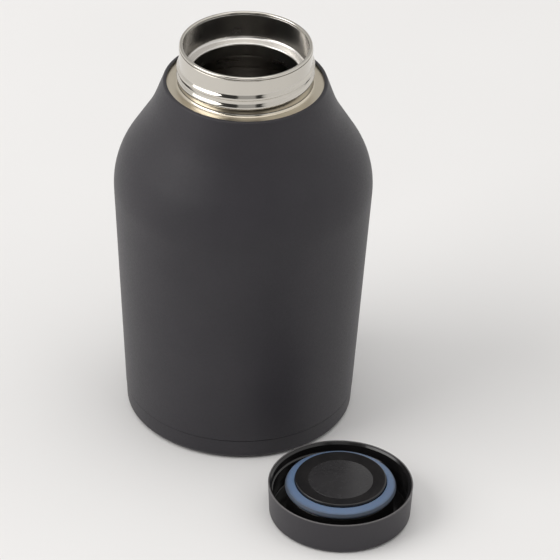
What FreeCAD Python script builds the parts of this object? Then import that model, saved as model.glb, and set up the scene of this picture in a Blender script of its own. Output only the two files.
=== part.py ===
"""Insulated steel growler: a double-wall vacuum bottle with its screw lid lying upside down beside it.

Units are millimetres, +Z is up.  The origin is on the bottle's axis, on the surface that it stands on.
The bottle and the lid are turned parts, so most pieces are outlines of (radius, height, fillet radius)
corners that are revolved about the axis.
"""
import FreeCAD
import Part
import math
import os

# ---- bottle: outside shape ----
BOTTLE_HEIGHT = 216.2        # surface to the top of the mouth
BASE_RADIUS = 59.3           # wall line carried down to the surface
WALL_SLOPE = 0.057           # the wall widens upwards by this much per millimetre
CONE_SLOPE = 0.615           # the shoulder narrows by this much per millimetre
CONE_RADIUS_AT_REF = 56.1    # shoulder's radius at CONE_REF_HEIGHT
CONE_REF_HEIGHT = 164.3
SHOULDER_ARC = 46.0          # large arc between wall and shoulder
COLLAR_RADIUS = 41.9         # painted edge round the neck
COLLAR_HEIGHT = 195.0
COLLAR_SLOPE = 0.36          # steeper stretch just below the painted edge
COLLAR_BLEND = 60.0          # hollow arc between shoulder and collar
COLLAR_EDGE_ARC = 1.3        # rolled painted edge
COLLAR_LIP_WIDTH = 1.6       # width of the rolled edge, seen from above
SHEET = 0.8                  # steel sheet of both walls
WALL_GAP = 3.0               # vacuum space between the two walls
SEAM_HEIGHT = 11.5           # joint between shell and base cup
SEAM_GAP = 0.25

# ---- bottle: base ----
PAD_THICKNESS = 0.6
PAD_OUTER_RADIUS = 52.0
PAD_INNER_RADIUS = 34.0
CUP_EDGE_ARC = 2.6
CUP_INSET = 0.15             # the cup is a little narrower than the shell above it
VACUUM_BASE_HEIGHT = 4.2     # underside of the plate that closes the vacuum space
VACUUM_BASE_RIM_TOP = 19.0
DIMPLE_RADIUS = 6.0
DIMPLE_DEPTH = 1.3
VENT_RADIUS = 0.9            # hole through which the space was evacuated
BEAD_HEIGHT = 1.0

# ---- bottle: inner liner ----
BORE_RADIUS = 32.0
LEDGE_RADIUS = 27.9          # smallest opening, at the ledge that the lid's seal closes on
LEDGE_TOP_DEPTH = 14.9       # below the mouth
LEDGE_BOTTOM_DEPTH = 16.5
LEDGE_TOP_ARC = 2.0
LEDGE_EDGE_ARC = 1.0
THROAT_DEPTH = 23.7
THROAT_BLEND_HEIGHT = 177.0  # from here down the liner runs parallel to the shell
LINER_SPLIT_HEIGHT = 24.0    # weld between the liner and its bottom
LINER_FLOOR_HEIGHT = 9.2
LINER_FLOOR_ARC = 13.0
LINER_DISH_RADIUS = 30.0     # shallow raised disc in the middle of the floor
LINER_DISH_RISE = 1.2

# ---- bottle: inside the vacuum space ----
FOIL = 0.2
FOIL_BOTTOM = 34.0
FOIL_TOP = 126.0
FOIL_DISC_OUTER = 46.0
FOIL_DISC_INNER = 33.0
GETTER_RADIUS = 4.0
GETTER_THICKNESS = 1.2
CLIP_RADIUS = 4.6
CLIP_SHEET = 0.4
CLIP_TAB_LENGTH = 12.0
CLIP_TAB_WIDTH = 4.0

# ---- neck, mouth and thread ----
LIP_HEIGHT = 1.3
LIP_OUTER_RADIUS = 33.95
LIP_GROOVE_ARC = 0.4         # rounding on both sides of the fine groove under the lip
NECK_RADIUS = 34.1           # smooth outside band of the neck, and the root of the thread
NECK_WALL = 0.9
FLANGE_DEPTH = 22.5          # root of the neck below the mouth
FLANGE_DROP = 0.2            # the flange slopes down a little towards its edge
FLANGE_RADIUS = 41.5         # the flange's edge, against the inside of the shell's collar
FLANGE_ARC = 1.8
PITCH = 5.2
RIDGE_HEIGHT = 1.1
NECK_RIDGE = (-1.2, 2.5)     # a ridge's root below and above its crest's middle
LID_RIDGE = (-1.3, 1.3)
RIDGE_CREST = 0.9            # width of a ridge's flat crest
RIDGE_SINK = 0.3             # how far a ridge's root is buried in its wall
RIDGE_FADE = 60.0            # degrees over which a ridge rises out of its wall
SECTION_STEP = 15.0          # degrees between a ridge's sections
NECK_RIDGE_FRONT = -90.0     # degrees: the side where NECK_RIDGE_DEPTH is measured
NECK_RIDGE_DEPTH = 12.1      # the first ridge's centre below the mouth
NECK_RIDGE_START = -615.0    # degrees
NECK_RIDGE_END = 60.0

# ---- lid, lying upside down: heights are above its closed end ----
LID_X = 52.94
LID_Y = -103.51
LID_HEIGHT = 18.5
LID_CLOSED_RADIUS = 36.2
LID_OPEN_RADIUS = 37.2
LID_EDGE_ARC = 2.4
LID_SKIRT = 0.7
LID_PLATE = 0.9
INSERT_PLATE = 0.7
INSERT_RADIUS = 35.4         # inside of the skirt, and the root of the lid's thread
INSERT_EDGE_DROP = 0.35      # the moulding ends a little below the skirt's edge
INSERT_CHAMFER = 0.5         # drop of the moulding's sloping edge
INSERT_STRAIGHT_DOWN_TO = 6.0
INSERT_ARC = 0.8
PLUG_RADIUS = 27.5
PLUG_WALL = 1.2
PLUG_SHOULDER = 15.0         # the seal lies on this step
NOSE_RADIUS = 23.4
NOSE_HEIGHT = 21.4
NOSE_DROP = 0.9              # the nose's ring slopes down this far to the cover
NOSE_ARC = 0.6
NOSE_FLANGE = 1.5
COVER_RADIUS = 16.6
COVER_BOTTOM = 19.95
COVER_TOP = 21.1
COVER_CROWN = 0.65           # rise from the cover's edge to its middle
COVER_CROWN_ARC = 200.0
SEAL_CLEARANCE = 0.2
SEAL_RADIUS = 28.5
SEAL_BOTTOM = 15.3
SEAL_TOP = 20.0
SEAL_EDGE_RADIUS = 27.7      # edge between the seal's sloping top and its steep rim
SEAL_EDGE_HEIGHT = 18.4
SEAL_OUTER_TOP = 17.0
SEAL_LIP = 0.9
DISC_RADIUS = 21.6
DISC_BOTTOM = 18.6
DISC_THICKNESS = 1.0
LID_RIDGE_HEIGHT = 0.95
LID_RIDGE_TURNS = 1.05
LID_RIDGE_LOW = 10.6         # centre of the lid's ridge at its deep end

TINY = 1e-6
UP = FreeCAD.Vector(0, 0, 1)
ORIGIN = FreeCAD.Vector(0, 0, 0)
LID_PLACE = FreeCAD.Vector(LID_X, LID_Y, 0)


# ---- outlines ----

def point(radius, height):
    return FreeCAD.Vector(radius, 0, height)


def unit(vector):
    return vector * (1 / vector.Length)


def round_corner(before, corner, after, fillet):
    """The start, middle and end of the arc that rounds a corner."""
    to_before = unit(before - corner)
    to_after = unit(after - corner)
    half = to_before.getAngle(to_after) / 2
    reach = fillet / math.tan(half)
    inward = fillet / math.sin(half) - fillet
    middle = corner + unit(to_before + to_after) * inward
    return corner + to_before * reach, middle, corner + to_after * reach


def turned(corners):
    """Solid of revolution of a closed outline; each corner is (radius, height) or has a fillet too."""
    places = [point(*corner[:2]) for corner in corners]
    count = len(corners)
    stretches = []
    for index, corner in enumerate(corners):
        fillet = corner[2] if len(corner) > 2 else 0
        here = places[index]
        if fillet:
            stretches.append(round_corner(places[index - 1], here, places[(index + 1) % count], fillet))
        else:
            stretches.append((here, None, here))
    edges = []
    for index, (start, middle, end) in enumerate(stretches):
        if middle:
            edges.append(Part.Arc(start, middle, end).toShape())
        following = stretches[(index + 1) % count][0]
        if end.distanceToPoint(following) > TINY:
            edges.append(Part.makeLine(end, following))
    face = Part.Face(Part.Wire(edges))
    return face.revolve(ORIGIN, UP, 360)


def offset_corners(corners, distance):
    """The same outline, moved to the left of its direction of travel."""
    directions = []
    for here, following in zip(corners, corners[1:]):
        directions.append(unit(point(*following[:2]) - point(*here[:2])))
    moved = []
    for index, corner in enumerate(corners):
        before = directions[max(index - 1, 0)]
        after = directions[min(index, len(directions) - 1)]
        left_before = point(-before.z, before.x)
        left_after = point(-after.z, after.x)
        shift = (left_before + left_after) * (distance / (1 + left_before.dot(left_after)))
        turn = before.x * after.z - before.z * after.x
        fillet = corner[2] if len(corner) > 2 else 0
        if fillet:
            fillet = max(fillet - math.copysign(distance, turn * distance), 0)
        moved.append((corner[0] + shift.x, corner[1] + shift.z, fillet))
    return moved


def sheet(corners, thickness):
    """Turned sheet of even thickness to the left of an open outline."""
    return turned(corners + offset_corners(corners, thickness)[::-1])


def crossing(line_a, line_b):
    """Where two lines cross, each given as (radius at height 0, widening per millimetre)."""
    height = (line_b[0] - line_a[0]) / (line_a[1] - line_b[1])
    return line_a[0] + line_a[1] * height, height


def smooth_step(value):
    value = min(max(value, 0), 1)
    return value * value * (3 - 2 * value)


def thread_ridge(root_radius, height, roots, start, end, height_at):
    """Screw thread ridge from start to end in degrees; a negative height points inwards."""
    outward = math.copysign(1, height)
    base = root_radius - outward * RIDGE_SINK
    buried = root_radius - outward * RIDGE_SINK / 2
    steps = round((end - start) / SECTION_STEP)
    sections = []
    for step in range(steps + 1):
        angle = start + (end - start) * step / steps
        fade = smooth_step(min(angle - start, end - angle) / RIDGE_FADE)
        crest = buried + (root_radius + height - buried) * fade
        middle = height_at(angle)
        corners = [
            (base, middle + roots[0]),
            (base, middle + roots[1]),
            (crest, middle + RIDGE_CREST / 2),
            (crest, middle - RIDGE_CREST / 2),
        ]
        wire = Part.makePolygon([point(*corner) for corner in corners + corners[:1]])
        wire.rotate(ORIGIN, UP, angle)
        sections.append(wire)
    return Part.makeLoft(sections, True, False)


# ---- lines that the walls follow ----

def wall_line(inset):
    return BASE_RADIUS - inset * math.hypot(1, WALL_SLOPE), WALL_SLOPE


def cone_line(inset):
    at_zero = CONE_RADIUS_AT_REF + CONE_SLOPE * CONE_REF_HEIGHT
    return at_zero - inset * math.hypot(1, CONE_SLOPE), -CONE_SLOPE


def collar_line():
    return COLLAR_RADIUS + COLLAR_SLOPE * COLLAR_HEIGHT, -COLLAR_SLOPE


def on_line(line, height):
    return line[0] + line[1] * height, height


LINER_INSET = 2 * SHEET + WALL_GAP      # from the shell's outside to the liner's inside
LEDGE_TOP = BOTTLE_HEIGHT - LEDGE_TOP_DEPTH
LEDGE_BOTTOM = BOTTLE_HEIGHT - LEDGE_BOTTOM_DEPTH
NECK_TOP = BOTTLE_HEIGHT - LIP_HEIGHT


# ---- bottle ----

def make_outer_shell():
    corners = [
        on_line(wall_line(0), SEAM_HEIGHT + SEAM_GAP),
        crossing(wall_line(0), cone_line(0)) + (SHOULDER_ARC,),
        crossing(cone_line(0), collar_line()) + (COLLAR_BLEND,),
        (COLLAR_RADIUS, COLLAR_HEIGHT, COLLAR_EDGE_ARC),
        (COLLAR_RADIUS - COLLAR_LIP_WIDTH, COLLAR_HEIGHT),
    ]
    return sheet(corners, SHEET)


def make_base_cup():
    corners = [
        (0, PAD_THICKNESS),
        on_line(wall_line(CUP_INSET), PAD_THICKNESS) + (CUP_EDGE_ARC,),
        on_line(wall_line(CUP_INSET), SEAM_HEIGHT),
    ]
    return sheet(corners, SHEET - CUP_INSET)


def make_foot_pad():
    return turned([
        (PAD_INNER_RADIUS, 0),
        (PAD_OUTER_RADIUS, 0),
        (PAD_OUTER_RADIUS, PAD_THICKNESS),
        (PAD_INNER_RADIUS, PAD_THICKNESS),
    ])


def make_vacuum_base():
    rim = wall_line(SHEET)
    corners = [
        (VENT_RADIUS, VACUUM_BASE_HEIGHT + DIMPLE_DEPTH),
        (DIMPLE_RADIUS / 2, VACUUM_BASE_HEIGHT + DIMPLE_DEPTH, SHEET),
        (DIMPLE_RADIUS, VACUUM_BASE_HEIGHT, SHEET),
        on_line(rim, VACUUM_BASE_HEIGHT) + (2 * SHEET,),
        on_line(rim, VACUUM_BASE_RIM_TOP),
    ]
    return sheet(corners, SHEET)


def make_vacuum_seal_bead():
    top = VACUUM_BASE_HEIGHT + DIMPLE_DEPTH
    return turned([
        (0, top),
        (0, top - BEAD_HEIGHT),
        (DIMPLE_RADIUS / 3, top - BEAD_HEIGHT, BEAD_HEIGHT / 2),
        (DIMPLE_RADIUS / 3, top),
    ])


def make_threaded_neck():
    flange_height = BOTTLE_HEIGHT - FLANGE_DEPTH
    corners = [
        (FLANGE_RADIUS, flange_height - FLANGE_DROP),
        (NECK_RADIUS, flange_height, FLANGE_ARC),
        (NECK_RADIUS, NECK_TOP, LIP_GROOVE_ARC),
    ]
    tube = sheet(corners, NECK_WALL)
    ends = (NECK_RIDGE_START, NECK_RIDGE_END)
    return tube.fuse(thread_ridge(NECK_RADIUS, RIDGE_HEIGHT, NECK_RIDGE, *ends, neck_ridge_height))


def neck_ridge_height(angle):
    """Height of the neck's thread ridge; right-handed, so it rises anticlockwise seen from above."""
    return BOTTLE_HEIGHT - NECK_RIDGE_DEPTH + PITCH * (angle - NECK_RIDGE_FRONT) / 360


def make_mouth_lip():
    top_arc = (LIP_OUTER_RADIUS - BORE_RADIUS) / 2 * 0.9
    return turned([
        (BORE_RADIUS, NECK_TOP),
        (LIP_OUTER_RADIUS, NECK_TOP, LIP_GROOVE_ARC),
        (LIP_OUTER_RADIUS, BOTTLE_HEIGHT, top_arc),
        (BORE_RADIUS, BOTTLE_HEIGHT, top_arc),
    ])


def make_inner_liner():
    corners = [
        (BORE_RADIUS, NECK_TOP),
        (BORE_RADIUS, LEDGE_TOP, LEDGE_TOP_ARC),
        (LEDGE_RADIUS, LEDGE_BOTTOM, LEDGE_EDGE_ARC),
        (LEDGE_RADIUS, BOTTLE_HEIGHT - THROAT_DEPTH, 3 * SHEET),
        on_line(cone_line(LINER_INSET), THROAT_BLEND_HEIGHT) + (SHOULDER_ARC / 2,),
        crossing(wall_line(LINER_INSET), cone_line(LINER_INSET)) + (SHOULDER_ARC - LINER_INSET,),
        on_line(wall_line(LINER_INSET), LINER_SPLIT_HEIGHT),
    ]
    return sheet(corners, SHEET)


def make_liner_bottom():
    floor = LINER_FLOOR_HEIGHT
    corners = [
        on_line(wall_line(LINER_INSET), LINER_SPLIT_HEIGHT),
        on_line(wall_line(LINER_INSET), floor) + (LINER_FLOOR_ARC,),
        (LINER_DISH_RADIUS + LINER_DISH_RISE, floor, 2 * SHEET),
        (LINER_DISH_RADIUS - LINER_DISH_RISE, floor + LINER_DISH_RISE, 2 * SHEET),
        (0, floor + LINER_DISH_RISE),
    ]
    return sheet(corners, SHEET)


def make_copper_wrap():
    foil = wall_line(LINER_INSET - SHEET)
    corners = [on_line(foil, FOIL_TOP), on_line(foil, FOIL_BOTTOM)]
    return sheet(corners, FOIL)


def make_copper_disc():
    top = LINER_FLOOR_HEIGHT - SHEET
    return turned([
        (FOIL_DISC_INNER, top - FOIL),
        (FOIL_DISC_OUTER, top - FOIL),
        (FOIL_DISC_OUTER, top),
        (FOIL_DISC_INNER, top),
    ])


def make_getter_clip():
    """Small steel cup with two tabs that hold it under the liner's raised floor."""
    top = LINER_FLOOR_HEIGHT + LINER_DISH_RISE - SHEET
    depth = GETTER_THICKNESS + CLIP_SHEET
    cup = turned([
        (0, top - depth),
        (CLIP_RADIUS, top - depth, CLIP_SHEET),
        (CLIP_RADIUS, top),
        (CLIP_RADIUS - CLIP_SHEET, top),
        (CLIP_RADIUS - CLIP_SHEET, top - GETTER_THICKNESS),
        (0, top - GETTER_THICKNESS),
    ])
    inner = CLIP_RADIUS - CLIP_SHEET / 2
    for side in (0, 180):
        corner = FreeCAD.Vector(inner, -CLIP_TAB_WIDTH / 2, top - CLIP_SHEET)
        tab = Part.makeBox(CLIP_TAB_LENGTH - inner, CLIP_TAB_WIDTH, CLIP_SHEET, corner)
        tab.rotate(ORIGIN, UP, side)
        cup = cup.fuse(tab)
    return cup


def make_getter_pellet():
    top = LINER_FLOOR_HEIGHT + LINER_DISH_RISE - SHEET
    bottom = top - GETTER_THICKNESS
    return turned([(0, bottom), (GETTER_RADIUS, bottom), (GETTER_RADIUS, top), (0, top)])


# ---- lid ----

def lid_radius(height):
    """Outside radius of the lid's skirt, carried down to its closed end."""
    return LID_CLOSED_RADIUS + (LID_OPEN_RADIUS - LID_CLOSED_RADIUS) * height / LID_HEIGHT


def make_lid_cap():
    edge = LID_SKIRT / 2.2
    return turned([
        (0, 0),
        (LID_CLOSED_RADIUS, 0, LID_EDGE_ARC),
        (LID_OPEN_RADIUS, LID_HEIGHT, edge),
        (LID_OPEN_RADIUS - LID_SKIRT, LID_HEIGHT, edge),
        (lid_radius(LID_PLATE) - LID_SKIRT, LID_PLATE, LID_EDGE_ARC - LID_SKIRT),
        (0, LID_PLATE),
    ])


def lid_ridge_height(angle):
    """Height of the lid's thread ridge in the upside-down lid.

    The lid turns over about the horizontal line halfway to the bottle, which mirrors its angles in that
    line, and then both threads follow the same screw with the lid's ridge half a pitch away.
    """
    turn_line = math.degrees(math.atan2(-LID_X, LID_Y))
    first = BOTTLE_HEIGHT - NECK_RIDGE_DEPTH
    phase = PITCH * (2 * turn_line - NECK_RIDGE_FRONT) / 360
    return BOTTLE_HEIGHT + LID_HEIGHT - first - PITCH / 2 - phase + PITCH * angle / 360


def make_thread_insert():
    top = LID_HEIGHT - INSERT_EDGE_DROP
    floor = LID_PLATE + INSERT_PLATE
    body = turned([
        (0, LID_PLATE),
        (lid_radius(LID_PLATE) - LID_SKIRT, LID_PLATE, LID_EDGE_ARC - LID_SKIRT),
        (lid_radius(top) - LID_SKIRT, top),
        (INSERT_RADIUS, top - INSERT_CHAMFER, INSERT_ARC / 3),
        (INSERT_RADIUS, INSERT_STRAIGHT_DOWN_TO),
        (INSERT_RADIUS - INSERT_PLATE, floor, INSERT_ARC),
        (PLUG_RADIUS, floor),
        (PLUG_RADIUS, PLUG_SHOULDER, INSERT_ARC / 2),
        (NOSE_RADIUS, PLUG_SHOULDER),
        (NOSE_RADIUS, NOSE_HEIGHT, NOSE_ARC),
        (COVER_RADIUS, NOSE_HEIGHT - NOSE_DROP, NOSE_ARC / 4),
        (COVER_RADIUS, NOSE_HEIGHT - NOSE_FLANGE),
        (NOSE_RADIUS - PLUG_WALL, NOSE_HEIGHT - NOSE_FLANGE),
        (NOSE_RADIUS - PLUG_WALL, PLUG_SHOULDER - PLUG_WALL),
        (PLUG_RADIUS - PLUG_WALL, PLUG_SHOULDER - PLUG_WALL),
        (PLUG_RADIUS - PLUG_WALL, floor),
        (0, floor),
    ])
    start = 360 * (LID_RIDGE_LOW - lid_ridge_height(0)) / PITCH
    ends = (start, start + 360 * LID_RIDGE_TURNS)
    return body.fuse(thread_ridge(INSERT_RADIUS, -LID_RIDGE_HEIGHT, LID_RIDGE, *ends, lid_ridge_height))


def make_plug_cover():
    return turned([
        (0, COVER_BOTTOM),
        (COVER_RADIUS, COVER_BOTTOM),
        (COVER_RADIUS, COVER_TOP - COVER_CROWN),
        (COVER_RADIUS / 2, COVER_TOP, COVER_CROWN_ARC),
        (0, COVER_TOP),
    ])


def make_seal_ring():
    inner = NOSE_RADIUS + SEAL_CLEARANCE
    return turned([
        (inner, SEAL_BOTTOM),
        (SEAL_RADIUS - 2 * SEAL_LIP, SEAL_BOTTOM, SEAL_LIP / 3),
        (SEAL_RADIUS, SEAL_BOTTOM + SEAL_LIP, SEAL_LIP / 3),
        (SEAL_RADIUS, SEAL_OUTER_TOP, SEAL_LIP / 2),
        (SEAL_EDGE_RADIUS, SEAL_EDGE_HEIGHT, SEAL_LIP / 3),
        (inner, SEAL_TOP, SEAL_LIP / 3),
    ])


def make_insulation_disc():
    top = DISC_BOTTOM + DISC_THICKNESS
    return turned([(0, DISC_BOTTOM), (DISC_RADIUS, DISC_BOTTOM), (DISC_RADIUS, top), (0, top)])


BOTTLE_PIECES = {
    "outer_shell": make_outer_shell,
    "base_cup": make_base_cup,
    "foot_pad": make_foot_pad,
    "vacuum_base": make_vacuum_base,
    "vacuum_seal_bead": make_vacuum_seal_bead,
    "threaded_neck": make_threaded_neck,
    "mouth_lip": make_mouth_lip,
    "inner_liner": make_inner_liner,
    "liner_bottom": make_liner_bottom,
    "copper_wrap": make_copper_wrap,
    "copper_disc": make_copper_disc,
    "getter_clip": make_getter_clip,
    "getter_pellet": make_getter_pellet,
}

LID_PIECES = {
    "lid_cap": make_lid_cap,
    "thread_insert": make_thread_insert,
    "plug_cover": make_plug_cover,
    "seal_ring": make_seal_ring,
    "insulation_disc": make_insulation_disc,
}


def write_piece(node, shape):
    shape.exportStep("parts/" + node + ".step")
    print(node, "valid" if shape.isValid() else "NOT VALID", len(shape.Solids), round(shape.Volume, 1))


os.makedirs("parts", exist_ok=True)
for node, make in BOTTLE_PIECES.items():
    write_piece(node, make())
for node, make in LID_PIECES.items():
    write_piece(node, make().translated(LID_PLACE))
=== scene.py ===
"""Looks of the insulated growler: a coated steel bottle with a bright threaded neck, and its upturned lid.

Outlines are (radius, height, fillet radius, longest step) corners in millimetres, turned about the
bottle's or the lid's axis. Everything else is in metres.
"""
import bmesh
import bpy
import math
from mathutils import Matrix, Vector


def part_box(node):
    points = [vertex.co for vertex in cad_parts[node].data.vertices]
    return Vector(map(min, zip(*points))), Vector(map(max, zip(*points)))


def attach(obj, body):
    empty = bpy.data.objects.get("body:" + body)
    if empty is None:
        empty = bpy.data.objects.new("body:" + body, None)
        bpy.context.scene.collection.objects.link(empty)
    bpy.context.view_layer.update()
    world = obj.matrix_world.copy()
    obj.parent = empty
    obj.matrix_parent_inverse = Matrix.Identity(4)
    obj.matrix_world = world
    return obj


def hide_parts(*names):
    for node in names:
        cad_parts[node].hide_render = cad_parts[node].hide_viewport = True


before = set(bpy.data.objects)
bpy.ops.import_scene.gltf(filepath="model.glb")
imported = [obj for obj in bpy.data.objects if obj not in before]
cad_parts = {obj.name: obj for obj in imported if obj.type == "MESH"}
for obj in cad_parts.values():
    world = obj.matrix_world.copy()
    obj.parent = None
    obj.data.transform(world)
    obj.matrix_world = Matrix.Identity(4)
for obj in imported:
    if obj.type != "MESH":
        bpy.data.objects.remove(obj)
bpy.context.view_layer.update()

MM = 0.001
SEGMENTS = 256               # facets round a turned piece
THREAD_SEGMENTS = 360
ARC_STEP = 6.0               # largest turn between points on a rounded corner, in degrees
ARC_RUN = 2.5                # longest run between points on a rounded corner
SATIN_ROUGHNESS = 0.24       # added where a surface turns from polished to satin
POLISHED_MARKS = 0.0000008   # height of the turning marks, in metres
SATIN_MARKS = 0.0000012
ON_AXIS = 0.035              # points nearer the axis than this become one
SUPPORT = 0.35               # millimetres from a corner to the loop that keeps the face beside it flat

# ---- sizes read from the frame, in millimetres ----


def extent(node):
    """Lowest and highest corner of a CAD node in millimetres."""
    low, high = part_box(node)
    return low / MM, high / MM


BOTTLE_HEIGHT = extent("mouth_lip")[1].z
NECK_TOP = extent("mouth_lip")[0].z
SEAM_TOP = extent("outer_shell")[0].z
SEAM_BOTTOM = extent("base_cup")[1].z
COLLAR_HEIGHT = extent("outer_shell")[1].z
PAD_THICKNESS = extent("foot_pad")[1].z
PAD_OUTER_RADIUS = extent("foot_pad")[1].x
LINER_SPLIT_HEIGHT = extent("inner_liner")[0].z
LID_LOW, LID_HIGH = extent("lid_cap")
LID_HEIGHT = LID_HIGH.z
LID_OPEN_RADIUS = (LID_HIGH.x - LID_LOW.x) / 2
LID_CENTRE = ((LID_LOW.x + LID_HIGH.x) / 2, (LID_LOW.y + LID_HIGH.y) / 2)
NOSE_HEIGHT = extent("thread_insert")[1].z
COVER_TOP = extent("plug_cover")[1].z
COVER_BOTTOM = extent("plug_cover")[0].z
COVER_RADIUS = (extent("plug_cover")[1].x - extent("plug_cover")[0].x) / 2
SEAL_BOTTOM = extent("seal_ring")[0].z
SEAL_TOP = extent("seal_ring")[1].z
SEAL_RADIUS = (extent("seal_ring")[1].x - extent("seal_ring")[0].x) / 2

# ---- walls of the bottle ----
BASE_RADIUS = 59.3           # wall line carried down to the surface
WALL_SLOPE = 0.057           # widening per millimetre of height
CONE_SLOPE = 0.615           # narrowing of the shoulder per millimetre of height
CONE_RADIUS_AT_REF = 56.1
CONE_REF_HEIGHT = 164.3
SHOULDER_ARC = 46.0
COLLAR_RADIUS = 41.9
COLLAR_SLOPE = 0.36
COLLAR_BLEND = 60.0
COLLAR_EDGE_ARC = 1.3
COLLAR_LIP_WIDTH = 1.6
SHEET = 0.8
LINER_INSET = 4.6            # from the shell's outside to the liner's inside
CUP_INSET = 0.15
CUP_EDGE_ARC = 2.6
PAD_INNER_RADIUS = 34.0
PAD_RIBS = 6

# ---- liner ----
BORE_RADIUS = 32.0
LEDGE_RADIUS = 27.9
LEDGE_TOP_DEPTH = 14.9
LEDGE_BOTTOM_DEPTH = 16.5
LEDGE_TOP_ARC = 2.0
LEDGE_EDGE_ARC = 1.0
THROAT_DEPTH = 23.7
THROAT_BLEND_HEIGHT = 177.0
LINER_FLOOR_HEIGHT = 9.2
LINER_FLOOR_ARC = 13.0
LINER_DISH_RADIUS = 30.0
LINER_DISH_RISE = 1.2

# ---- neck and threads ----
LIP_OUTER_RADIUS = 33.95
LIP_GROOVE_ARC = 0.4         # rounding on both sides of the fine groove under the lip
LIP_GROOVE = 0.3             # width of its dark bottom
NECK_RADIUS = 34.1
NECK_WALL = 0.9
FLANGE_DEPTH = 22.5
FLANGE_DROP = 0.2
FLANGE_RADIUS = 41.5
FLANGE_ARC = 1.8
PITCH = 5.2
NECK_RIDGE = (-1.15, 2.5)    # a ridge's root below and above its crest's middle
LID_RIDGE = (-1.2, 1.2)
RIDGE_HALF_CREST = 0.3
RIDGE_HEIGHT = 1.1
RIDGE_FADE = 60.0            # degrees over which a ridge rises
ON_ROOT = 0.05               # points this near the root radius carry the thread
RIDGE_ROW = 0.16             # millimetres between rows of points on a thread
NECK_RIDGE_FRONT = -90.0
NECK_RIDGE_DEPTH = 12.1
NECK_RIDGE_START = -615.0
NECK_RIDGE_END = 60.0

# ---- lid ----
LID_CLOSED_RADIUS = 36.2
LID_EDGE_ARC = 2.4
LID_SKIRT = 0.7
LID_PLATE = 0.9
INSERT_PLATE = 0.7
INSERT_RADIUS = 35.4
INSERT_EDGE_DROP = 0.35
INSERT_CHAMFER = 1.2         # drop of the moulding's sloping edge
INSERT_STRAIGHT_DOWN_TO = 6.0
INSERT_ARC = 0.8
PLUG_RADIUS = 27.5
PLUG_WALL = 1.2
PLUG_SHOULDER = 15.0
NOSE_RADIUS = 23.4
NOSE_DROP = 0.9              # the nose's ring slopes down this far to the cover
NOSE_ARC = 0.6
NOSE_FLANGE = 1.5
COVER_CROWN = 0.65           # rise from the cover's edge to its middle
COVER_CROWN_ARC = 200.0
SEAL_CLEARANCE = 0.2
SEAL_EDGE_RADIUS = 27.7      # edge between the seal's sloping top and its steep rim
SEAL_EDGE_HEIGHT = 18.4
SEAL_OUTER_TOP = 17.0
SEAL_LIP = 0.9
LID_RIDGE_HEIGHT = 0.95
LID_RIDGE_LOW = 10.6
LID_RIDGE_TURNS = 1.05


# ---- turned meshes ----

def round_corner(before, corner, after, fillet):
    """Points on the arc that rounds a corner."""
    to_before = (before - corner).normalized()
    to_after = (after - corner).normalized()
    half = to_before.angle(to_after) / 2
    centre = corner + (to_before + to_after).normalized() * (fillet / math.sin(half))
    first = corner + to_before * (fillet / math.tan(half)) - centre
    last = corner + to_after * (fillet / math.tan(half)) - centre
    turn = first.angle_signed(last)
    count = math.ceil(max(abs(math.degrees(turn)) / ARC_STEP, abs(turn) * fillet / ARC_RUN, 2))
    points = []
    for index in range(count + 1):
        points.append(centre + Matrix.Rotation(-turn * index / count, 2) @ first)
    return points


def run_between(start, end, longest):
    """Points inside a straight run: one near each end, and rows in between if a longest step is given."""
    length = (end - start).length
    if length < 3 * SUPPORT:
        return []
    if longest:
        count = math.ceil(length / longest)
        return [start.lerp(end, index / count) for index in range(1, count)]
    return [start.lerp(end, SUPPORT / length), start.lerp(end, 1 - SUPPORT / length)]


def outline_points(corners):
    """All points of a closed outline, with its corners rounded."""
    places = [Vector(corner[:2]) for corner in corners]
    count = len(corners)
    rounded = []
    for index, corner in enumerate(corners):
        fillet = corner[2] if len(corner) > 2 else 0
        if fillet:
            after = places[(index + 1) % count]
            rounded.append(round_corner(places[index - 1], places[index], after, fillet))
        else:
            rounded.append([places[index]])
    points = []
    for index, arc in enumerate(rounded):
        points += arc
        longest = corners[index][3] if len(corners[index]) > 3 else 0
        points += run_between(arc[-1], rounded[(index + 1) % count][0], longest)
    return points


def offset_corners(corners, distance):
    """The same outline, moved to the left of its direction of travel."""
    places = [Vector(corner[:2]) for corner in corners]
    directions = [(after - before).normalized() for before, after in zip(places, places[1:])]
    moved = []
    for index, corner in enumerate(corners):
        before = directions[max(index - 1, 0)]
        after = directions[min(index, len(directions) - 1)]
        left_before = Vector((-before.y, before.x))
        left_after = Vector((-after.y, after.x))
        shift = (left_before + left_after) * (distance / (1 + left_before.dot(left_after)))
        turn = before.x * after.y - before.y * after.x
        fillet = corner[2] if len(corner) > 2 else 0
        if fillet:
            fillet = max(fillet - math.copysign(distance, turn * distance), 0)
        moved.append((corner[0] + shift.x, corner[1] + shift.y, fillet))
    return moved


def sheet_outline(corners, thickness):
    return corners + offset_corners(corners, thickness)[::-1]


def flat_relief(angle, radius, height):
    return 0


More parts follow.
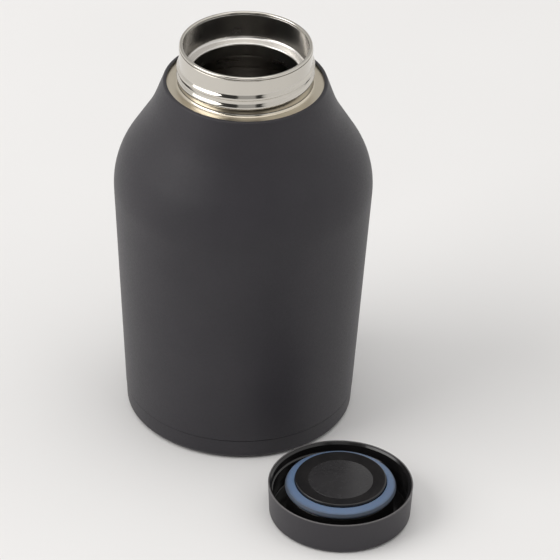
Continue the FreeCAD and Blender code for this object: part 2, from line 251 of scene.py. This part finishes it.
def turned(name, corners, centre=(0, 0), relief=flat_relief, segments=SEGMENTS):
    """Closed mesh turned about an upright axis; relief adds to the radius at (angle, radius, height)."""
    mesh = bmesh.new()
    rings = []
    for radius, height in outline_points(corners):
        if radius < ON_AXIS:
            rings.append([mesh.verts.new((centre[0] * MM, centre[1] * MM, height * MM))] * segments)
            continue
        ring = []
        for index in range(segments):
            angle = 2 * math.pi * index / segments
            reach = radius + relief(math.degrees(angle), radius, height)
            x = centre[0] + reach * math.cos(angle)
            y = centre[1] + reach * math.sin(angle)
            ring.append(mesh.verts.new((x * MM, y * MM, height * MM)))
        rings.append(ring)
    for index, ring in enumerate(rings):
        following = rings[(index + 1) % len(rings)]
        for side in range(segments):
            beyond = (side + 1) % segments
            corners_of_face = [ring[side], ring[beyond], following[beyond], following[side]]
            unique = list(dict.fromkeys(corners_of_face))
            if len(unique) > 2:
                mesh.faces.new(unique)
    bmesh.ops.recalc_face_normals(mesh, faces=mesh.faces)
    for face in mesh.faces:
        face.smooth = True
    data = bpy.data.meshes.new(name)
    mesh.to_mesh(data)
    mesh.free()
    piece = bpy.data.objects.new(name, data)
    bpy.context.collection.objects.link(piece)
    return piece


def smooth_step(value):
    value = min(max(value, 0), 1)
    return value * value * (3 - 2 * value)


def thread_relief(root, height, roots, start, end, height_at):
    """Relief of a screw thread's ridge, which rises and fades at its two ends."""
    def relief(angle, radius, z):
        if abs(radius - root) > ON_ROOT:
            return 0
        highest = 0
        first_turn = math.ceil((start - angle) / 360)
        last_turn = math.floor((end - angle) / 360)
        for turn in range(first_turn, last_turn + 1):
            along = angle + 360 * turn
            aside = z - height_at(along)
            reach = roots[1] if aside > 0 else -roots[0]
            flank = smooth_step((reach - abs(aside)) / (reach - RIDGE_HALF_CREST))
            fade = smooth_step(min(along - start, end - along) / RIDGE_FADE)
            highest = max(highest, flank * fade)
        return height * highest
    return relief


# ---- lines that the walls follow ----

def crossing(line_a, line_b):
    """Where two lines cross, each given as (radius at height 0, widening per millimetre)."""
    height = (line_b[0] - line_a[0]) / (line_a[1] - line_b[1])
    return line_a[0] + line_a[1] * height, height


def wall_line(inset):
    return BASE_RADIUS - inset * math.hypot(1, WALL_SLOPE), WALL_SLOPE


def cone_line(inset):
    at_zero = CONE_RADIUS_AT_REF + CONE_SLOPE * CONE_REF_HEIGHT
    return at_zero - inset * math.hypot(1, CONE_SLOPE), -CONE_SLOPE


def collar_line():
    return COLLAR_RADIUS + COLLAR_SLOPE * COLLAR_HEIGHT, -COLLAR_SLOPE


def on_line(line, height):
    return line[0] + line[1] * height, height


# ---- materials ----

class Shader:
    """A Principled material and the few node chains that the finishes are made of."""

    def __init__(self, name, **values):
        self.material = bpy.data.materials.new(name)
        self.material.use_nodes = True
        self.nodes = self.material.node_tree.nodes
        self.surface = self.nodes["Principled BSDF"]
        for socket, value in values.items():
            self.surface.inputs[socket.replace("_", " ")].default_value = value
        self.place = self.nodes.new("ShaderNodeTexCoord").outputs["Object"]

    def link(self, source, target):
        self.material.node_tree.links.new(source, target)

    def scaled(self, vector, scale):
        node = self.nodes.new("ShaderNodeMapping")
        node.inputs["Scale"].default_value = scale
        self.link(vector, node.inputs["Vector"])
        return node.outputs["Vector"]

    def rings(self, centre, along, around):
        """Coordinates stretched round an axis, for turning marks: fine across, slow around."""
        moved = self.nodes.new("ShaderNodeVectorMath")
        moved.operation = "SUBTRACT"
        moved.inputs[1].default_value = (centre[0] * MM, centre[1] * MM, 0)
        self.link(self.place, moved.inputs[0])
        split = self.nodes.new("ShaderNodeSeparateXYZ")
        self.link(moved.outputs["Vector"], split.inputs["Vector"])
        flat = self.nodes.new("ShaderNodeCombineXYZ")
        self.link(split.outputs["X"], flat.inputs["X"])
        self.link(split.outputs["Y"], flat.inputs["Y"])
        radius = self.nodes.new("ShaderNodeVectorMath")
        radius.operation = "LENGTH"
        self.link(flat.outputs["Vector"], radius.inputs[0])
        across = self.nodes.new("ShaderNodeMath")
        across.operation = "ADD"
        self.link(radius.outputs["Value"], across.inputs[0])
        self.link(split.outputs["Z"], across.inputs[1])
        joined = self.nodes.new("ShaderNodeCombineXYZ")
        self.link(split.outputs["X"], joined.inputs["X"])
        self.link(split.outputs["Y"], joined.inputs["Y"])
        self.link(across.outputs["Value"], joined.inputs["Z"])
        return self.scaled(joined.outputs["Vector"], (around, around, along))

    def noise(self, vector, scale, detail=3.0, roughness=0.55):
        node = self.nodes.new("ShaderNodeTexNoise")
        node.inputs["Scale"].default_value = scale
        node.inputs["Detail"].default_value = detail
        node.inputs["Roughness"].default_value = roughness
        self.link(vector, node.inputs["Vector"])
        return node.outputs["Fac"]

    def spread(self, value, low, high):
        """Maps the middle of a noise to the range low..high."""
        node = self.nodes.new("ShaderNodeMapRange")
        node.inputs["From Min"].default_value = 0.3
        node.inputs["From Max"].default_value = 0.7
        node.inputs["To Min"].default_value = low
        node.inputs["To Max"].default_value = high
        self.link(value, node.inputs["Value"])
        return node.outputs["Result"]

    def colours(self, value, dark, light):
        node = self.nodes.new("ShaderNodeValToRGB")
        node.color_ramp.elements[0].position = 0.35
        node.color_ramp.elements[1].position = 0.65
        node.color_ramp.elements[0].color = (*dark, 1)
        node.color_ramp.elements[1].color = (*light, 1)
        self.link(value, node.inputs["Fac"])
        self.link(node.outputs["Color"], self.surface.inputs["Base Color"])

    def rise(self, low, high, grain, share):
        """Goes from 0 to 1 between two heights in millimetres, broken up by a share of a noise."""
        split = self.nodes.new("ShaderNodeSeparateXYZ")
        self.link(self.place, split.inputs["Vector"])
        height = self.nodes.new("ShaderNodeMapRange")
        height.inputs["From Min"].default_value = low * MM
        height.inputs["From Max"].default_value = high * MM
        self.link(split.outputs["Z"], height.inputs["Value"])
        total = self.nodes.new("ShaderNodeMath")
        total.operation = "ADD"
        self.link(height.outputs["Result"], total.inputs[0])
        self.link(self.spread(grain, -share, share), total.inputs[1])
        return total.outputs["Value"]

    def roughness(self, value, low, high):
        self.link(self.spread(value, low, high), self.surface.inputs["Roughness"])

    def roughness_by_height(self, value, rough, satin_from):
        """Roughness from a noise, raised to SATIN_ROUGHNESS below a height in millimetres."""
        split = self.nodes.new("ShaderNodeSeparateXYZ")
        self.link(self.place, split.inputs["Vector"])
        satin = self.nodes.new("ShaderNodeMapRange")
        satin.inputs["From Min"].default_value = satin_from * MM
        satin.inputs["From Max"].default_value = (satin_from + 1) * MM
        satin.inputs["To Min"].default_value = SATIN_ROUGHNESS
        satin.inputs["To Max"].default_value = 0
        self.link(split.outputs["Z"], satin.inputs["Value"])
        total = self.nodes.new("ShaderNodeMath")
        total.operation = "ADD"
        self.link(satin.outputs["Result"], total.inputs[0])
        self.link(self.spread(value, *rough), total.inputs[1])
        self.link(total.outputs["Value"], self.surface.inputs["Roughness"])

    def bump(self, *layers):
        """Adds up bumps, each given as (value, height in metres)."""
        normal = None
        for value, height in layers:
            node = self.nodes.new("ShaderNodeBump")
            node.inputs["Strength"].default_value = 1.0
            node.inputs["Distance"].default_value = height
            self.link(value, node.inputs["Height"])
            if normal:
                self.link(normal, node.inputs["Normal"])
            normal = node.outputs["Normal"]
        self.link(normal, self.surface.inputs["Normal"])


def coated_steel():
    """Matte charcoal powder coat: a fine orange-peel grain with a soft sheen."""
    shader = Shader("coated_steel", IOR=1.46, Sheen_Weight=0.10, Sheen_Roughness=0.45)
    grain = shader.noise(shader.place, 2400, 4)
    cloud = shader.noise(shader.place, 28, 3)
    shader.colours(cloud, (0.0170, 0.0153, 0.0203), (0.0210, 0.0188, 0.0243))
    shader.roughness(shader.noise(shader.place, 900), 0.51, 0.61)
    shader.bump((grain, 0.00004), (shader.noise(shader.place, 500), 0.00003))
    return shader.material


def steel(name, centre, colours, heights, rough, streak, satin_from=None):
    """Turned stainless steel with fine marks round the axis.

    One tone below a stretch of heights runs into another above it, and it is rougher below satin_from.
    """
    shader = Shader(name, Metallic=1.0)
    fine = shader.noise(shader.rings(centre, 9000, 12), 1.0, 4)
    broad = shader.noise(shader.rings(centre, 900, 30), 1.0, 2)
    smudge = shader.noise(shader.place, 60, 4)
    shader.colours(shader.rise(*heights, broad, 0.12), *colours)
    if satin_from:
        shader.roughness_by_height(smudge, rough, satin_from)
    else:
        shader.roughness(smudge, *rough)
    shader.bump((fine, streak), (broad, streak))
    return shader.material


def copper():
    shader = Shader("copper_foil", Metallic=1.0)
    shader.colours(shader.noise(shader.place, 90, 4), (0.78, 0.36, 0.20), (0.92, 0.50, 0.33))
    shader.roughness(shader.noise(shader.place, 300), 0.18, 0.34)
    shader.bump((shader.noise(shader.place, 350, 5), 0.0001))
    return shader.material


def solder_glass():
    shader = Shader("solder_glass", IOR=1.6, Transmission_Weight=0.3)
    shader.colours(shader.noise(shader.place, 1500, 3), (0.20, 0.27, 0.24), (0.33, 0.40, 0.36))
    shader.roughness(shader.noise(shader.place, 3000), 0.08, 0.2)
    shader.bump((shader.noise(shader.place, 900), 0.00005))
    return shader.material


def sintered_metal():
    shader = Shader("sintered_metal", Metallic=0.8)
    shader.colours(shader.noise(shader.place, 5000, 5), (0.10, 0.10, 0.11), (0.30, 0.30, 0.31))
    shader.roughness(shader.noise(shader.place, 5000), 0.55, 0.8)
    shader.bump((shader.noise(shader.place, 6000, 5), 0.00008))
    return shader.material


def matte_plastic():
    """Matte moulded charcoal plastic with a spark-eroded texture, painted lighter in its top millimetre: a
    painted highlight along the rim.
    """
    shader = Shader("lid_matte", IOR=1.5, Sheen_Weight=0.05, Sheen_Roughness=0.4)
    # painted highlight: the colour rises from dark charcoal to light grey over the top millimetre of the
    # skirt
    edge = shader.rise(LID_HEIGHT - 1.0, LID_HEIGHT, shader.noise(shader.place, 40, 3), 0.04)
    shader.colours(edge, (0.0248, 0.0224, 0.0278), (0.110, 0.104, 0.106))
    shader.roughness_by_height(shader.noise(shader.place, 1500), (0.20, 0.32), LID_HEIGHT - 1.3)
    shader.bump((shader.noise(shader.place, 4200, 4), 0.00003))
    return shader.material


def gloss_plastic():
    """Glossy black moulding with faint flow marks and handling haze."""
    shader = Shader("lid_gloss", IOR=1.5)
    shader.colours(shader.noise(shader.place, 70, 4), (0.010, 0.0095, 0.010), (0.014, 0.013, 0.013))
    shader.roughness(shader.noise(shader.place, 160, 5), 0.10, 0.20)
    flow = shader.noise(shader.rings(LID_CENTRE, 1200, 25), 1.0, 3)
    shader.bump((flow, 0.000006), (shader.noise(shader.place, 700), 0.00001))
    return shader.material


def cover_plastic():
    """The plug's cover: the same black plastic with a finer, satin face."""
    shader = Shader("lid_cover", IOR=1.5)
    shader.colours(shader.noise(shader.place, 70, 4), (0.024, 0.023, 0.0245), (0.029, 0.028, 0.0295))
    shader.roughness(shader.noise(shader.place, 300, 4), 0.22, 0.30)
    shader.bump((shader.noise(shader.place, 2600, 3), 0.00001))
    return shader.material


def silicone():
    """Blue silicone rubber, satin; its steep rim is painted darker and greyer than its sloping top: painted
    shade.
    """
    shader = Shader("seal_silicone", IOR=1.41, Subsurface_Weight=0.15, Subsurface_Scale=0.002)
    # painted shade: the steep rim below the sloping top is coloured darker and greyer than the top
    painted_rim_shade = shader.rise(SEAL_OUTER_TOP, SEAL_TOP, shader.noise(shader.place, 220, 5), 0.05)
    shader.colours(painted_rim_shade, (0.075, 0.092, 0.125), (0.105, 0.160, 0.265))
    shader.roughness(shader.noise(shader.place, 800, 4), 0.38, 0.52)
    shader.bump((shader.noise(shader.place, 2500, 3), 0.00002))
    return shader.material


def foot_rubber():
    shader = Shader("foot_rubber", IOR=1.45)
    shader.colours(shader.noise(shader.place, 150, 4), (0.016, 0.016, 0.017), (0.026, 0.026, 0.027))
    shader.roughness(shader.noise(shader.place, 900), 0.65, 0.85)
    shader.bump((shader.noise(shader.place, 3000, 4), 0.00006))
    return shader.material


def foam():
    shader = Shader("insulation_foam", IOR=1.3)
    shader.colours(shader.noise(shader.place, 1800, 5), (0.55, 0.54, 0.50), (0.78, 0.77, 0.73))
    shader.roughness(shader.noise(shader.place, 1500), 0.8, 0.95)
    shader.bump((shader.noise(shader.place, 2200, 5), 0.0003))
    return shader.material


def finish(piece, material):
    piece.data.materials.clear()
    piece.data.materials.append(material)


def stand_in(piece, node, body, material):
    """A finished piece in place of a CAD node."""
    finish(piece, material)
    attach(piece, body)
    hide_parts(node)


# ---- bottle ----

def neck_ridge_height(angle):
    return BOTTLE_HEIGHT - NECK_RIDGE_DEPTH + PITCH * (angle - NECK_RIDGE_FRONT) / 360


def shell_outline():
    return sheet_outline([
        on_line(wall_line(0), SEAM_TOP) + (0.3,),
        crossing(wall_line(0), cone_line(0)) + (SHOULDER_ARC,),
        crossing(cone_line(0), collar_line()) + (COLLAR_BLEND,),
        (COLLAR_RADIUS, COLLAR_HEIGHT, COLLAR_EDGE_ARC),
        (COLLAR_RADIUS - COLLAR_LIP_WIDTH, COLLAR_HEIGHT, 0.25),
    ], SHEET)


def cup_outline():
    return sheet_outline([
        (0, PAD_THICKNESS),
        on_line(wall_line(CUP_INSET), PAD_THICKNESS) + (CUP_EDGE_ARC,),
        on_line(wall_line(CUP_INSET), SEAM_BOTTOM) + (0.25,),
    ], SHEET - CUP_INSET)


def pad_outline():
    """A ring with shallow ribs on its underside."""
    pitch = (PAD_OUTER_RADIUS - PAD_INNER_RADIUS) / PAD_RIBS
    corners = [(PAD_INNER_RADIUS, PAD_THICKNESS)]
    for rib in range(PAD_RIBS):
        inner = PAD_INNER_RADIUS + rib * pitch
        corners.append((inner + 0.05 * pitch, 0, 0.1))
        corners.append((inner + 0.75 * pitch, 0, 0.1))
        corners.append((inner + 0.80 * pitch, PAD_THICKNESS / 2))
        corners.append((inner + pitch, PAD_THICKNESS / 2))
    corners[-2:] = [(PAD_OUTER_RADIUS, 0, 0.1)]
    corners[-2] = (PAD_OUTER_RADIUS - 0.3 * pitch, 0)
    return corners + [(PAD_OUTER_RADIUS, PAD_THICKNESS)]


def neck_outline():
    flange_height = BOTTLE_HEIGHT - FLANGE_DEPTH
    return sheet_outline([
        (FLANGE_RADIUS, flange_height - FLANGE_DROP, 0.25),
        (NECK_RADIUS, flange_height, FLANGE_ARC, RIDGE_ROW),
        (NECK_RADIUS, NECK_TOP - LIP_GROOVE, LIP_GROOVE_ARC),
    ], NECK_WALL)


def lip_outline():
    arc = (LIP_OUTER_RADIUS - BORE_RADIUS) / 2 * 0.9
    return [
        (BORE_RADIUS, NECK_TOP),
        (LIP_OUTER_RADIUS, NECK_TOP, LIP_GROOVE_ARC),
        (LIP_OUTER_RADIUS, BOTTLE_HEIGHT, arc),
        (BORE_RADIUS, BOTTLE_HEIGHT, arc),
    ]


def liner_outline():
    return sheet_outline([
        (BORE_RADIUS, NECK_TOP),
        (BORE_RADIUS, BOTTLE_HEIGHT - LEDGE_TOP_DEPTH, LEDGE_TOP_ARC),
        (LEDGE_RADIUS, BOTTLE_HEIGHT - LEDGE_BOTTOM_DEPTH, LEDGE_EDGE_ARC),
        (LEDGE_RADIUS, BOTTLE_HEIGHT - THROAT_DEPTH, 3 * SHEET),
        on_line(cone_line(LINER_INSET), THROAT_BLEND_HEIGHT) + (SHOULDER_ARC / 2,),
        crossing(wall_line(LINER_INSET), cone_line(LINER_INSET)) + (SHOULDER_ARC - LINER_INSET,),
        on_line(wall_line(LINER_INSET), LINER_SPLIT_HEIGHT),
    ], SHEET)


def liner_bottom_outline():
    floor = LINER_FLOOR_HEIGHT
    return sheet_outline([
        on_line(wall_line(LINER_INSET), LINER_SPLIT_HEIGHT),
        on_line(wall_line(LINER_INSET), floor) + (LINER_FLOOR_ARC,),
        (LINER_DISH_RADIUS + LINER_DISH_RISE, floor, 2 * SHEET),
        (LINER_DISH_RADIUS - LINER_DISH_RISE, floor + LINER_DISH_RISE, 2 * SHEET),
        (0, floor + LINER_DISH_RISE),
    ], SHEET)


def make_bottle():
    axis = (0, 0)
    coat = coated_steel()
    flange = BOTTLE_HEIGHT - FLANGE_DEPTH
    polished = steel("polished_steel", axis, ((0.70, 0.635, 0.52), (0.61, 0.583, 0.532)),
                     (flange, flange + 2), (0.07, 0.12), POLISHED_MARKS, flange)
    throat = BOTTLE_HEIGHT - THROAT_DEPTH
    # painted shade: the liner's tone darkens from 8 mm above the throat to 10 mm below it and stays dark
    # further down, for the shade deep inside the bottle
    satin = steel("satin_steel", axis, ((0.37, 0.352, 0.33), (0.65, 0.63, 0.60)), (throat - 10, throat + 8),
                  (0.21, 0.29), SATIN_MARKS)
    ends = (NECK_RIDGE_START, NECK_RIDGE_END)
    thread = thread_relief(NECK_RADIUS, RIDGE_HEIGHT, NECK_RIDGE, *ends, neck_ridge_height)
    neck = turned("neck", neck_outline(), axis, thread, THREAD_SEGMENTS)
    stand_in(turned("shell", shell_outline()), "outer_shell", "bottle", coat)
    stand_in(turned("cup", cup_outline()), "base_cup", "bottle", coat)
    stand_in(turned("pad", pad_outline()), "foot_pad", "bottle", foot_rubber())
    stand_in(neck, "threaded_neck", "bottle", polished)
    stand_in(turned("lip", lip_outline()), "mouth_lip", "bottle", polished)
    stand_in(turned("liner", liner_outline()), "inner_liner", "bottle", satin)
    stand_in(turned("liner_floor", liner_bottom_outline()), "liner_bottom", "bottle", satin)
    inside = {
        "vacuum_base": (satin, "bare_steel"),
        "vacuum_seal_bead": (solder_glass(), "seal_glass"),
        "copper_wrap": (copper(), "copper_foil"),
        "copper_disc": (copper(), "copper_foil"),
        "getter_clip": (satin, "bare_steel"),
        "getter_pellet": (sintered_metal(), "getter_metal"),
    }
    for node, (material, slot) in inside.items():
        finish(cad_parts[node], material)


# ---- lid ----

def lid_radius(height):
    return LID_CLOSED_RADIUS + (LID_OPEN_RADIUS - LID_CLOSED_RADIUS) * height / LID_HEIGHT


def lid_ridge_height(angle):
    """Height of the lid's ridge, half a pitch from the neck's once the lid is turned over onto it."""
    turn_line = math.degrees(math.atan2(-LID_CENTRE[0], LID_CENTRE[1]))
    phase = PITCH * (2 * turn_line - NECK_RIDGE_FRONT) / 360
    return NECK_RIDGE_DEPTH + LID_HEIGHT - PITCH / 2 - phase + PITCH * angle / 360


def cap_outline():
    edge = LID_SKIRT / 2.2
    return [
        (0, 0),
        (LID_CLOSED_RADIUS, 0, LID_EDGE_ARC),
        (LID_OPEN_RADIUS, LID_HEIGHT, edge),
        (LID_OPEN_RADIUS - LID_SKIRT, LID_HEIGHT, edge),
        (lid_radius(LID_PLATE) - LID_SKIRT, LID_PLATE, LID_EDGE_ARC - LID_SKIRT),
        (0, LID_PLATE),
    ]


def insert_outline():
    top = LID_HEIGHT - INSERT_EDGE_DROP
    floor = LID_PLATE + INSERT_PLATE
    return [
        (0, LID_PLATE),
        (lid_radius(LID_PLATE) - LID_SKIRT, LID_PLATE, LID_EDGE_ARC - LID_SKIRT),
        (lid_radius(top) - LID_SKIRT, top),
        (INSERT_RADIUS, top - INSERT_CHAMFER, INSERT_ARC / 3, RIDGE_ROW),
        (INSERT_RADIUS, INSERT_STRAIGHT_DOWN_TO),
        (INSERT_RADIUS - INSERT_PLATE, floor, INSERT_ARC),
        (PLUG_RADIUS, floor, INSERT_ARC / 4),
        (PLUG_RADIUS, PLUG_SHOULDER, INSERT_ARC / 2),
        (NOSE_RADIUS, PLUG_SHOULDER, INSERT_ARC / 8),
        (NOSE_RADIUS, NOSE_HEIGHT, NOSE_ARC),
        (COVER_RADIUS, NOSE_HEIGHT - NOSE_DROP, NOSE_ARC / 4),
        (COVER_RADIUS, NOSE_HEIGHT - NOSE_FLANGE),
        (NOSE_RADIUS - PLUG_WALL, NOSE_HEIGHT - NOSE_FLANGE),
        (NOSE_RADIUS - PLUG_WALL, PLUG_SHOULDER - PLUG_WALL),
        (PLUG_RADIUS - PLUG_WALL, PLUG_SHOULDER - PLUG_WALL),
        (PLUG_RADIUS - PLUG_WALL, floor),
        (0, floor),
    ]


def cover_outline():
    edge = (COVER_TOP - COVER_BOTTOM) / 8
    return [
        (0, COVER_BOTTOM),
        (COVER_RADIUS, COVER_BOTTOM),
        (COVER_RADIUS, COVER_TOP - COVER_CROWN, edge),
        (COVER_RADIUS / 2, COVER_TOP, COVER_CROWN_ARC),
        (0, COVER_TOP),
    ]


def seal_outline():
    inner = NOSE_RADIUS + SEAL_CLEARANCE
    return [
        (inner, SEAL_BOTTOM, SEAL_LIP / 6),
        (SEAL_RADIUS - 2 * SEAL_LIP, SEAL_BOTTOM, SEAL_LIP / 3),
        (SEAL_RADIUS, SEAL_BOTTOM + SEAL_LIP, SEAL_LIP / 3),
        (SEAL_RADIUS, SEAL_OUTER_TOP, SEAL_LIP / 2),
        (SEAL_EDGE_RADIUS, SEAL_EDGE_HEIGHT, SEAL_LIP / 3),
        (inner, SEAL_TOP, SEAL_LIP / 3),
    ]


def make_lid():
    gloss = gloss_plastic()
    start = 360 * (LID_RIDGE_LOW - lid_ridge_height(0)) / PITCH
    ends = (start, start + 360 * LID_RIDGE_TURNS)
    thread = thread_relief(INSERT_RADIUS, -LID_RIDGE_HEIGHT, LID_RIDGE, *ends, lid_ridge_height)
    cap = turned("cap", cap_outline(), LID_CENTRE)
    insert = turned("insert", insert_outline(), LID_CENTRE, thread, THREAD_SEGMENTS)
    cover = turned("cover", cover_outline(), LID_CENTRE)
    seal = turned("seal", seal_outline(), LID_CENTRE)
    stand_in(cap, "lid_cap", "lid", matte_plastic())
    stand_in(insert, "thread_insert", "lid", gloss)
    stand_in(cover, "plug_cover", "lid", cover_plastic())
    stand_in(seal, "seal_ring", "lid_seal", silicone())
    finish(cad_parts["insulation_disc"], foam())


# ---- studio ----
CAMERA_PLACE = (0, -2.0351, 1.4225)
CAMERA_PITCH = 33.543        # degrees below the horizon
CAMERA_YAW = 0.570           # degrees to the right
CAMERA_ROLL = 1.493
CAMERA_LENS = 299.83
KEY_PLACE = (-2.48, -0.81, 2.05)
KEY_AIM = (0, 0, 0.08)
KEY_SIZE = (2.6, 2.2)
KEY_POWER = 52
KEY_COLOUR = (1.0, 0.985, 0.965)
FLOOR_SIZE = 8.0
FLOOR_STEPS = 8
WORLD_STRENGTH = 0.89
CEILING_LIGHT = 2.0          # of the lamp overhead, times the rest of the ceiling
CEILING_EDGE = (0.90, 0.95)  # sine of the height where the lamp begins
SOFT_LIGHT = (1.0, 0.99, 0.975)
# light of the studio's walls by bearing: 0 is the front, 0.25 the left, 0.5 the back, 0.75 the right
WALL_LIGHT = [
    (0.0, 0.50),
    (0.036, 0.50),
    (0.042, 0.04),
    (0.150, 0.04),
    (0.162, 0.90),
    (0.28, 0.90),
    (0.36, 0.65),
    (0.50, 0.58),
    (0.60, 0.72),
    (0.66, 1.00),
    (0.90, 0.90),
    (0.918, 0.55),
    (0.926, 0.04),
    (0.950, 0.04),
    (0.956, 0.50),
]
# how much the walls show, by the sine of the height above the horizon: the rest is soft light
WALL_SHARE = [
    (0.0, 0.0),
    (0.10, 0.2),
    (0.25, 1.0),
    (0.70, 1.0),
    (0.90, 0.0),
]


def make_camera():
    data = bpy.data.cameras.new("camera")
    data.lens = CAMERA_LENS
    data.sensor_width = 36
    camera = bpy.data.objects.new("camera", data)
    bpy.context.collection.objects.link(camera)
    turn = Matrix.Rotation(math.radians(-CAMERA_YAW), 4, "Z")
    tilt = Matrix.Rotation(math.radians(90 - CAMERA_PITCH), 4, "X")
    roll = Matrix.Rotation(math.radians(CAMERA_ROLL), 4, "Z")
    camera.matrix_world = Matrix.Translation(CAMERA_PLACE) @ turn @ tilt @ roll
    bpy.context.scene.camera = camera


def make_floor():
    mesh = bmesh.new()
    bmesh.ops.create_grid(mesh, x_segments=FLOOR_STEPS, y_segments=FLOOR_STEPS, size=FLOOR_SIZE / 2)
    data = bpy.data.meshes.new("floor")
    mesh.to_mesh(data)
    mesh.free()
    floor = bpy.data.objects.new("floor", data)
    bpy.context.collection.objects.link(floor)
    shader = Shader("floor")
    shader.colours(shader.noise(shader.place, 3, 2), (0.800, 0.794, 0.792), (0.820, 0.814, 0.812))
    shader.roughness(shader.noise(shader.place, 40), 0.75, 0.85)
    data.materials.append(shader.material)


def make_softbox(name, place, aim, size, power, colour):
    data = bpy.data.lights.new(name, "AREA")
    data.shape = "RECTANGLE"
    data.size, data.size_y = size
    data.energy = power
    data.color = colour
    light = bpy.data.objects.new(name, data)
    light.location = place
    light.rotation_euler = (Vector(aim) - Vector(place)).to_track_quat("-Z", "Y").to_euler()
    bpy.context.collection.objects.link(light)


def make_world():
    """A studio seen by direction: bright sides, dimmer back, dark strips in front, lamp overhead."""
    world = bpy.data.worlds.new("studio")
    world.use_nodes = True
    nodes = world.node_tree.nodes
    links = world.node_tree.links
    split = nodes.new("ShaderNodeSeparateXYZ")
    links.new(nodes.new("ShaderNodeTexCoord").outputs["Generated"], split.inputs["Vector"])
    bearing = nodes.new("ShaderNodeMath")
    bearing.operation = "ARCTAN2"
    links.new(split.outputs["X"], bearing.inputs[0])
    links.new(split.outputs["Y"], bearing.inputs[1])
    share = nodes.new("ShaderNodeMapRange")
    share.inputs["From Min"].default_value = -math.pi
    share.inputs["From Max"].default_value = math.pi
    links.new(bearing.outputs["Value"], share.inputs["Value"])
    walls = ramp(nodes, WALL_LIGHT)
    links.new(share.outputs["Result"], walls.inputs["Fac"])
    height = ramp(nodes, WALL_SHARE)
    links.new(split.outputs["Z"], height.inputs["Fac"])
    mix = nodes.new("ShaderNodeMix")
    mix.data_type = "RGBA"
    links.new(height.outputs["Color"], mix.inputs["Factor"])
    mix.inputs["A"].default_value = (*SOFT_LIGHT, 1)
    links.new(walls.outputs["Color"], mix.inputs["B"])
    lamp = nodes.new("ShaderNodeMapRange")
    lamp.inputs["From Min"].default_value = CEILING_EDGE[0]
    lamp.inputs["From Max"].default_value = CEILING_EDGE[1]
    lamp.inputs["To Min"].default_value = WORLD_STRENGTH
    lamp.inputs["To Max"].default_value = WORLD_STRENGTH * CEILING_LIGHT
    links.new(split.outputs["Z"], lamp.inputs["Value"])
    background = nodes["Background"]
    links.new(mix.outputs["Result"], background.inputs["Color"])
    links.new(lamp.outputs["Result"], background.inputs["Strength"])
    bpy.context.scene.world = world


def ramp(nodes, stops):
    node = nodes.new("ShaderNodeValToRGB")
    elements = node.color_ramp.elements
    while len(elements) < len(stops):
        elements.new(0.5)
    for element, (position, value) in zip(elements, stops):
        element.position = position
        element.color = (value, value * 0.99, value * 0.975, 1)
    return node


def make_studio():
    make_world()
    make_softbox("key", KEY_PLACE, KEY_AIM, KEY_SIZE, KEY_POWER, KEY_COLOUR)
    make_floor()
    make_camera()
    bpy.context.scene.view_settings.view_transform = "Standard"


make_bottle()
make_lid()
make_studio()
